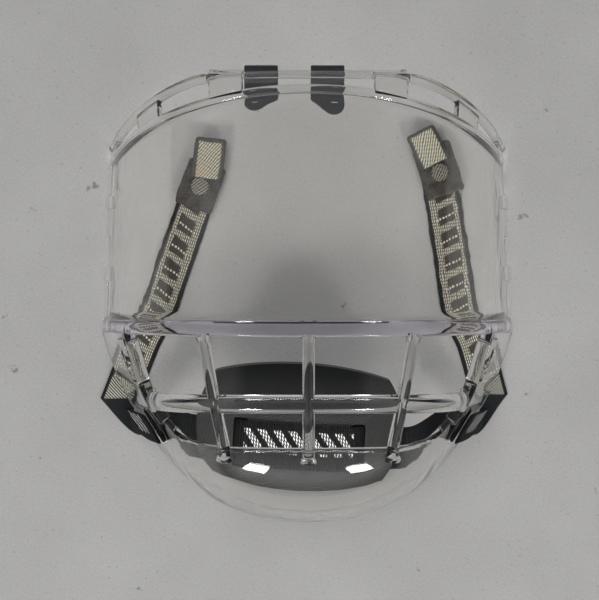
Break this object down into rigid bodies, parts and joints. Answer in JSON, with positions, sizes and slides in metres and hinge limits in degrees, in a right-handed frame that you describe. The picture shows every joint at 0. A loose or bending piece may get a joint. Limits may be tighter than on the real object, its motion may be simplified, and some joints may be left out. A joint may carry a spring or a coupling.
{
  "type": "hockey visor",
  "caption": "Clear full-face hockey visor with a caged chin guard, a padded chin cup on webbing, side straps with snap ends and top loops.",
  "frame": {"origin": "under the middle of the visor's box, on the surface that it lies on", "axes": "+Z out of the face, +Y up the face to the helmet's edge, +X to the right as seen from outside"},
  "size_m": [0.2146, 0.2152, 0.1141],
  "materials": {
    "clear_plastic": "clear polycarbonate, polished",
    "cup_shell": "cloth-grained black shell",
    "cup_lining": "soft black pad",
    "webbing": "woven black webbing",
    "elastic": "woven elastic with a pale twill between dark borders",
    "suede": "napped dark grey cloth",
    "mesh_cloth": "light open mesh cloth",
    "snap_metal": "plated",
    "loop_plastic": "black flexible plastic"
  },
  "bodies": {
    "shield": {"lens": "clear_plastic", "lens_ledge": "clear_plastic", "top_flange": "clear_plastic", "side_frame_left": "clear_plastic", "side_frame_right": "clear_plastic", "chin_guard": "clear_plastic", "upright_left": "clear_plastic", "upright_centre": "clear_plastic", "upright_right": "clear_plastic", "crossbar_left_inner": "clear_plastic", "crossbar_left_outer": "clear_plastic", "crossbar_right_inner": "clear_plastic", "crossbar_right_outer": "clear_plastic", "chin_band_left": "webbing", "chin_band_right": "webbing", "band_end_tab_left": "webbing", "band_end_tab_right": "webbing", "strap_anchor_left": "elastic", "strap_anchor_right": "elastic"},
    "top_loop_left": {"top_loop_left": "loop_plastic"},
    "top_loop_right": {"top_loop_right": "loop_plastic"},
    "chin_cup": {"chin_cup_shell": "cup_shell", "chin_cup_lining": "cup_lining", "chin_band_front": "webbing"},
    "side_strap_left": {"side_strap_left": "elastic", "snap_stud_left": "snap_metal", "snap_socket_left": "snap_metal", "fastening_tab_left": "suede", "snap_cap_left": "mesh_cloth", "pull_tab_left": "mesh_cloth"},
    "side_strap_right": {"side_strap_right": "elastic", "snap_stud_right": "snap_metal", "snap_socket_right": "snap_metal", "fastening_tab_right": "suede", "snap_cap_right": "mesh_cloth", "pull_tab_right": "mesh_cloth"}
  },
  "joints": [
    {"name": "top_loop_left_swing", "type": "hinge", "parent": "shield", "child": "top_loop_left", "pos_m": [-0.02165, 0.10345, 0.08], "axis": [1, 0, 0], "range_deg": [-20, 100]},
    {"name": "top_loop_right_swing", "type": "hinge", "parent": "shield", "child": "top_loop_right", "pos_m": [0.0089, 0.10345, 0.08], "axis": [1, 0, 0], "range_deg": [-20, 100]},
    {"name": "chin_cup_tilt", "type": "hinge", "parent": "shield", "child": "chin_cup", "pos_m": [-0.00452, -0.07008, 0.0438], "axis": [0.9981, -0.061, 0], "range_deg": [-12, 12]},
    {"name": "side_strap_left_lift", "type": "hinge", "parent": "shield", "child": "side_strap_left", "pos_m": [-0.08557, -0.02184, 0.0016], "axis": [0.9152, -0.403, 0], "range_deg": [0, 28]},
    {"name": "side_strap_right_lift", "type": "hinge", "parent": "shield", "child": "side_strap_right", "pos_m": [0.08673, -0.02184, 0.0016], "axis": [0.9397, 0.342, 0], "range_deg": [0, 28]}
  ]
}
